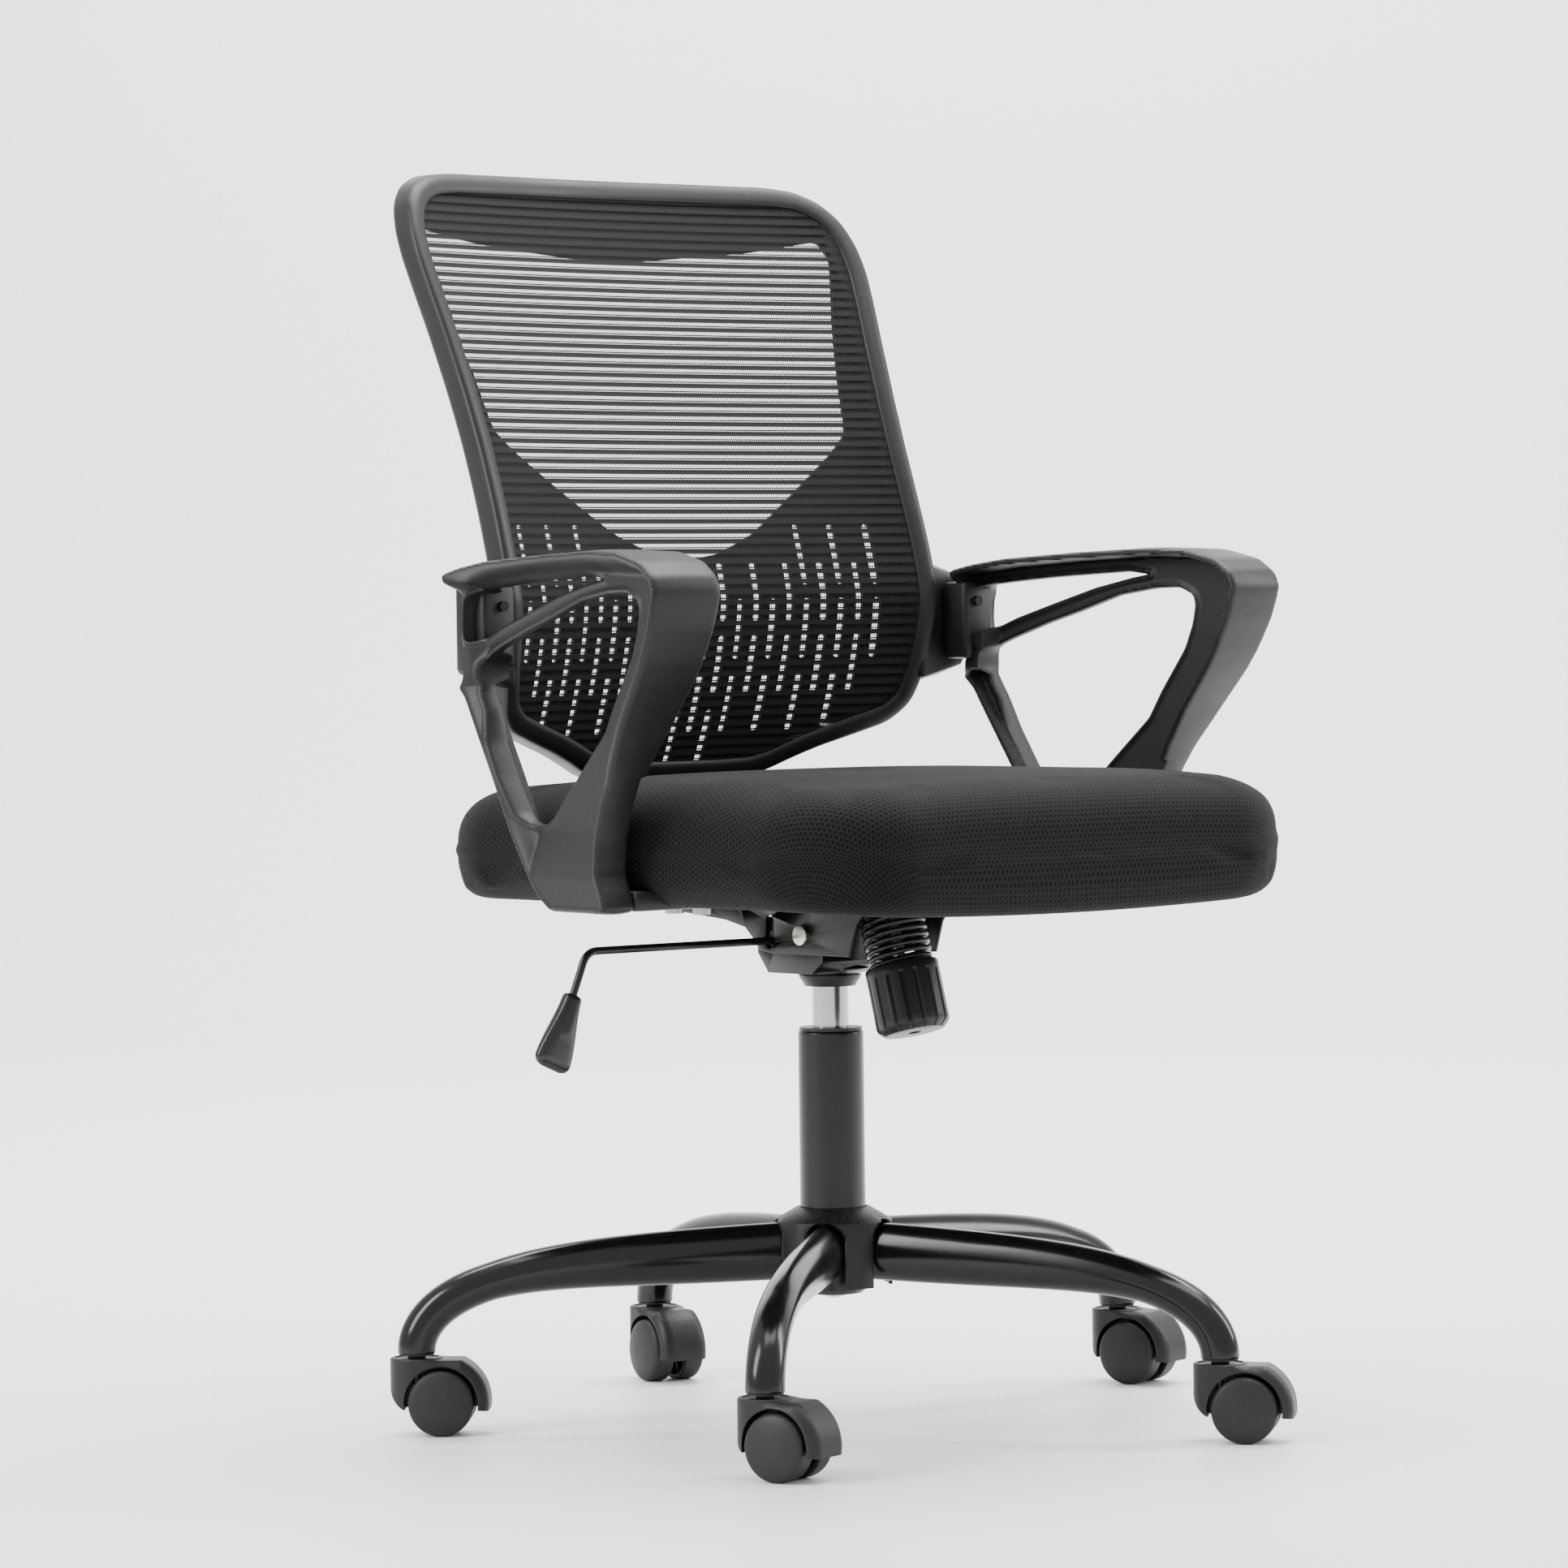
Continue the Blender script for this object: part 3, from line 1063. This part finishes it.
arm_vertices, arm_faces = plate(arm_field, (-184, 116, 399, 669), 1.3, arm_outside, arm_inside,
                                columns=15, crown=0.9)
for name, side in (("left", -1), ("right", 1)):
    foot_low = (169.5, -86.5, 403.0)
    foot_high = (262.0, -19.0, 417.6)
    foot_points, foot_faces = slab(foot_low, foot_high, radius=3.0)
    foot_points = foot_points * (side, 1, 1)
    boss_points, boss_faces = slab((228.0, 92.0, 580.5), (259.0, 119.3, 642.0), radius=4.0)
    boss_points = boss_points * (side, 1, 1)
    arm = make("arm_moulding_" + name, [(turn_arm(arm_vertices, side), arm_faces),
                                        (foot_points, foot_faces), (boss_points, boss_faces)],
               arm_plastic, crease=34)
    fit(arm, "seat", "arm_plastic", "armrest_" + name)
dress("bolts_into_arms", rod_paint)


# ---- back ------------------------------------------------------------------------------------
# The back is a raked, slightly hollow frame. A moulded panel behind it has an open window above a
# field of lumbar slots, and a striped mesh is stretched over the front.
def back_depth_at(x, z):
    """Y of the back's front surface: upright at the waist, raked above, curled back below."""
    share = (z - back_low) / (back_high - back_low)
    rake = 129.0 * np.clip((share - 0.30) / 0.70, 0, None) ** 1.25
    foot = 44.0 * np.clip((0.30 - share) / 0.30, 0, None) ** 1.6
    return 108 + rake + foot + 30.0 * (1 - (x / 222.0) ** 2)


def on_back(vertices):
    """Lay (x, z, depth) points on the back's curved surface."""
    x, z, depth = vertices[..., 0], vertices[..., 1], vertices[..., 2]
    return np.stack([x, back_depth_at(x, z) + depth, z], axis=-1)


back_low, back_high = 487.7, 964.7
half_back = [(0, 964.4), (90, 964.4), (160, 963.6), (186, 961), (206, 952), (220, 937), (227, 916),
             (228.6, 895), (226.5, 868), (223, 835), (219.5, 790), (217.6, 750), (217.4, 710),
             (218, 670),
             (218, 635), (216.5, 605), (214, 575), (207, 545), (191, 530), (162, 520.5), (133, 511.5),
             (111, 503), (92, 494.5), (74, 489.5), (40, 488), (0, 487.8)]
back_line = through(half_back + [(-x, z) for x, z in reversed(half_back[1:-1])], smooth=8, spacing=3.0)
back_inset = measured(back_line, spacing=2.0)
frame_plastic = moulded("frame_plastic", (0.009, 0.009, 0.0105), 0.42, grain_scale=1500,
                        grain_depth=0.3)
panel_plastic = moulded("panel_plastic", (0.004, 0.004, 0.0043), 0.5)
run = np.roll(back_line, -1, axis=0) - np.roll(back_line, 1, axis=0)
run /= np.linalg.norm(run, axis=1)[:, None]
inward = np.stack([run[:, 1], -run[:, 0]], axis=-1)
if back_inset(back_line[:1] + inward[:1])[0] < 0:
    inward = -inward
rim_section = (
    [(3.5, 0.6), (7, 0.0), (11, 0.2), (14, 0.9), (15.4, 2.2), (15.8, 4.0), (15.6, 20), (15.0, 24),
     (13.0, 26.3), (10, 27), (5, 27), (2.2, 26.2), (0.7, 24.2), (0.0, 21), (0.0, 6.5), (0.5, 3.4),
     (1.7, 1.5)]
)
section = np.array(rim_section)
rim = np.zeros((len(back_line), len(section), 3))
rim[..., :2] = back_line[:, None] + inward[:, None] * section[None, :, :1]
rim[..., 2] = section[None, :, 1]
frame_parts = [grid(on_back(rim), around=True, along=True)]
for side in (-1, 1):
    lug_points, lug_faces = slab((205.0, 119.6, 573.0), (253.5, 135.5, 650.0), radius=5.0)
    reach_out = smoothstep(lug_points[:, 0], 215, 253)
    lug_points[:, 2] = 611 + (lug_points[:, 2] - 611) * (1.22 - 0.27 * reach_out)
    frame_parts.append((lug_points * (side, 1, 1), lug_faces))
back_rim = make("back_rim", frame_parts, frame_plastic, crease=40)
fit(back_rim, "seat", "frame_plastic", "back_frame")

window = through([
    (-206, 920), (-137, 909), (0, 897), (137, 909), (206, 920), (212, 905), (196, 850), (186, 804),
    (180, 762), (160, 744), (117, 713), (72, 682), (34, 666), (0, 661), (-34, 666), (-72, 682),
    (-117, 713), (-160, 744), (-180, 762), (-186, 804), (-196, 850), (-212, 905),
], smooth=5, spacing=3.0)
window_depth = measured(window, spacing=2.0)
slot_pitch = 16.0
slot_row = 58.0
slot_size = (3.4, 24.0)


def panel_field(points):
    """Distance into the panel: inside the rim, outside the window and the staggered slots."""
    rim_gap = back_inset(points) - 9.0
    solid = np.minimum(rim_gap, -window_depth(points))
    column = np.round(points[:, 0] / slot_pitch)
    shift = np.where(column % 2 == 0, 0.0, slot_row / 2)
    row = np.round((points[:, 1] - 520 - shift) / slot_row)
    centre = np.stack([column * slot_pitch, 520 + shift + row * slot_row], axis=-1)
    local = np.abs(points - centre)
    past_straight = np.maximum(local[:, 1] - slot_size[1] + slot_size[0], 0)
    slot = slot_size[0] - np.hypot(local[:, 0], past_straight)
    room = np.minimum(back_inset(centre) - 32.0, -window_depth(centre) - 26.0)
    usable = (room > 0) & (np.abs(centre[:, 0]) < 178) & (centre[:, 1] < 690)
    return np.where(usable, np.minimum(solid, -slot), solid)


panel_front, panel_rear = 19.2, 22.2
panel_vertices, panel_faces = plate(panel_field, (-226, 226, 488, 964), 1.9,
                                    level_face(panel_rear), level_face(panel_front), columns=1)
panel = make("back_plate", [(on_back(panel_vertices), panel_faces)], panel_plastic, crease=40)
fit(panel, "seat", "panel_plastic", "back_panel")


# ---- back mesh -------------------------------------------------------------------------------
# One sheet of knitted mesh: level opaque ribs with rows of pinholes, and between them open bands
# of fine threads that show the panel behind.
def build_stripes():
    """Mask of the mesh's threads on a cloth map in metres: 1 on yarn and 0 in the holes."""
    tree, given, result = shader_group("striped_mesh", {"Vector": "Vector"},
                                       {"Thread": "Float", "Rib": "Float"})
    split = wire(tree, "SeparateXYZ", {0: given["Vector"]})

    def wave(axis, period, offset=0.0):
        moved = wire(tree, "Math", {0: split.outputs[axis], 1: period, 2: offset},
                     operation="MULTIPLY_ADD")
        moved.inputs[1].default_value = 1 / period
        part = wire(tree, "Math", {0: moved.outputs[0]}, operation="FRACT")
        part = wire(tree, "Math", {0: part.outputs[0], 1: 0.5}, operation="SUBTRACT")
        return wire(tree, "Math", {0: part.outputs[0]}, operation="ABSOLUTE").outputs[0]

    def above(value, limit, soft):
        return wire(tree, "MapRange", {"Value": value, "From Min": limit - soft,
                                       "From Max": limit + soft}).outputs[0]

    rib = above(wave(1, 0.0082), 0.25, 0.012)
    upright = above(wave(0, 0.0021), 0.30, 0.06)
    level = above(wave(1, 0.0041, 0.25), 0.36, 0.05)
    threads = wire(tree, "Math", {0: upright, 1: level}, operation="MAXIMUM")
    pin_x = above(wave(0, 0.0021, 0.5), 0.36, 0.04)
    pin_y = above(wave(1, 0.0041, 0.25), 0.40, 0.03)
    pin = wire(tree, "Math", {0: pin_x, 1: pin_y}, operation="MULTIPLY")
    solid = wire(tree, "Math", {0: rib, 1: pin.outputs[0]}, operation="SUBTRACT")
    both = wire(tree, "Math", {0: threads.outputs[0], 1: solid.outputs[0]}, operation="MAXIMUM",
                use_clamp=True)
    tree.links.new(both.outputs[0], result.inputs["Thread"])
    tree.links.new(rib, result.inputs["Rib"])
    return tree


mesh_cloth, tree, shader, place = new_material(
    "striped_mesh", (0.006, 0.006, 0.0065), 0.7, {"Sheen Weight": 0.03, "Specular IOR Level": 0.15}
)
stripes = wire(tree, "Group", node_tree=build_stripes())
tree.links.new(wire(tree, "UVMap", uv_map="cloth").outputs["UV"], stripes.inputs["Vector"])
tree.links.new(stripes.outputs["Thread"], shader.inputs["Alpha"])
bump = wire(tree, "Bump", {"Height": stripes.outputs["Rib"], "Strength": 0.6, "Distance": 0.0008})
tree.links.new(bump.outputs[0], shader.inputs["Normal"])
shade = wire(tree, "Mix", {"Factor": stripes.outputs["Rib"]}, data_type="RGBA")
shade.inputs[6].default_value = (0.003, 0.003, 0.0033, 1)
shade.inputs[7].default_value = (0.008, 0.008, 0.0088, 1)
tree.links.new(shade.outputs[2], shader.inputs["Base Color"])

steps = np.linspace(0, 1, 90)
centre_line = np.stack([0 * back_line[:, 0], np.clip(back_line[:, 1], 560, 880)], axis=-1)
edge_line = back_line + inward * 12.0
mesh_xz = centre_line[None] * (1 - steps)[:, None, None] + edge_line[None] * steps[:, None, None]
mesh_points = on_back(np.concatenate([mesh_xz, np.full((*mesh_xz.shape[:2], 1), 3.2)], axis=-1))
levels = np.linspace(back_low, back_high, 400)
profile_length = np.concatenate([[0], np.cumsum(np.hypot(np.diff(levels), np.diff(
    back_depth_at(np.full(400, 222.0), levels))))])
mesh_uv = np.stack([mesh_xz[..., 0], np.interp(mesh_xz[..., 1], levels, profile_length)], axis=-1)
mesh_sheet = make("mesh_fabric", [grid(mesh_points, around=True)], mesh_cloth, crease=80)
give_uv(mesh_sheet, mesh_points, mesh_uv)
fit(mesh_sheet, "seat", "back_mesh", "back_mesh")


# ---- stage, light and camera -------------------------------------------------------------------
# A pale sweep runs from the floor up behind the chair, under large soft lights.
def look(location, target):
    """Rotation that points an object's -Z axis from a location at a target."""
    return (Vector(target) - Vector(location)).to_track_quat("-Z", "Y").to_euler()


stage_white = bpy.data.materials.new("stage_white")
stage_white.use_nodes = True
stage_white.node_tree.nodes["Principled BSDF"].inputs["Base Color"].default_value = (0.8, 0.8, 0.8, 1)
stage_white.node_tree.nodes["Principled BSDF"].inputs["Roughness"].default_value = 0.45
bow = np.linspace(0, math.pi / 2, 24)
bend = np.stack([4200 + 2500 * np.sin(bow), 2500 - 2500 * np.cos(bow)], axis=-1)
sweep_line = np.concatenate([[(-9000, 0), (4200, 0)], bend[1:], [(6700, 9000)]])
heading = math.radians(-41.1)
across = np.array([-9000.0, 9000.0])
sheet_points = np.zeros((len(sweep_line), 2, 3))
sheet_points[..., 0] = across[None] * math.cos(heading) - sweep_line[:, :1] * math.sin(heading)
sheet_points[..., 1] = across[None] * math.sin(heading) + sweep_line[:, :1] * math.cos(heading)
sheet_points[..., 2] = sweep_line[:, 1:]
backdrop = make("studio_sweep", [grid(sheet_points)], stage_white)

world = bpy.data.worlds.new("studio")
bpy.context.scene.world = world
world.use_nodes = True
world.node_tree.nodes["Background"].inputs["Color"].default_value = (1, 1, 1, 1)
world.node_tree.nodes["Background"].inputs["Strength"].default_value = 1.15
lamps = (
    ("overhead", (0.4, -0.2, 3.2), 2.6, 2.6, 130),
    ("left_bank", (-2.6, 0.6, 1.9), 0.9, 2.2, 100),
    ("right_bank", (2.4, -1.4, 1.7), 0.6, 2.0, 60),
    ("backdrop_wash", (1.6, 1.2, 4.6), 5.0, 2.0, 760),
)
for name, location, wide, tall, power in lamps:
    lamp = bpy.data.lights.new(name, "AREA")
    lamp.shape = "RECTANGLE"
    lamp.size = wide
    lamp.size_y = tall
    lamp.energy = power
    holder = bpy.data.objects.new(name, lamp)
    holder.location = location
    target = (4.0, 4.6, 0.8) if name == "backdrop_wash" else (0, 0, 0.45)
    holder.rotation_euler = look(location, target)
    bpy.context.scene.collection.objects.link(holder)

camera_turn = math.radians(41.1)
pan, pitch, roll = math.radians(0.40), math.radians(-1.57), math.radians(-0.75)
forward = Vector((-math.sin(pan) * math.cos(pitch), math.cos(pan) * math.cos(pitch), math.sin(pitch)))
right = Vector((math.cos(pan), math.sin(pan), 0))
above = right.cross(forward)
level = Matrix.Rotation(-camera_turn, 3, "Z")
columns = (right * math.cos(roll) + above * math.sin(roll),
           above * math.cos(roll) - right * math.sin(roll), -forward)
camera = bpy.data.objects.new("camera", bpy.data.cameras.new("camera"))
camera.matrix_world = (Matrix([level @ column for column in columns]).transposed().to_4x4())
camera.location = (-3.1363, -3.5953, 0.619)
camera.data.lens = 143.4
camera.data.sensor_width = 36.0
camera.data.clip_end = 100.0
bpy.context.scene.collection.objects.link(camera)
bpy.context.scene.camera = camera
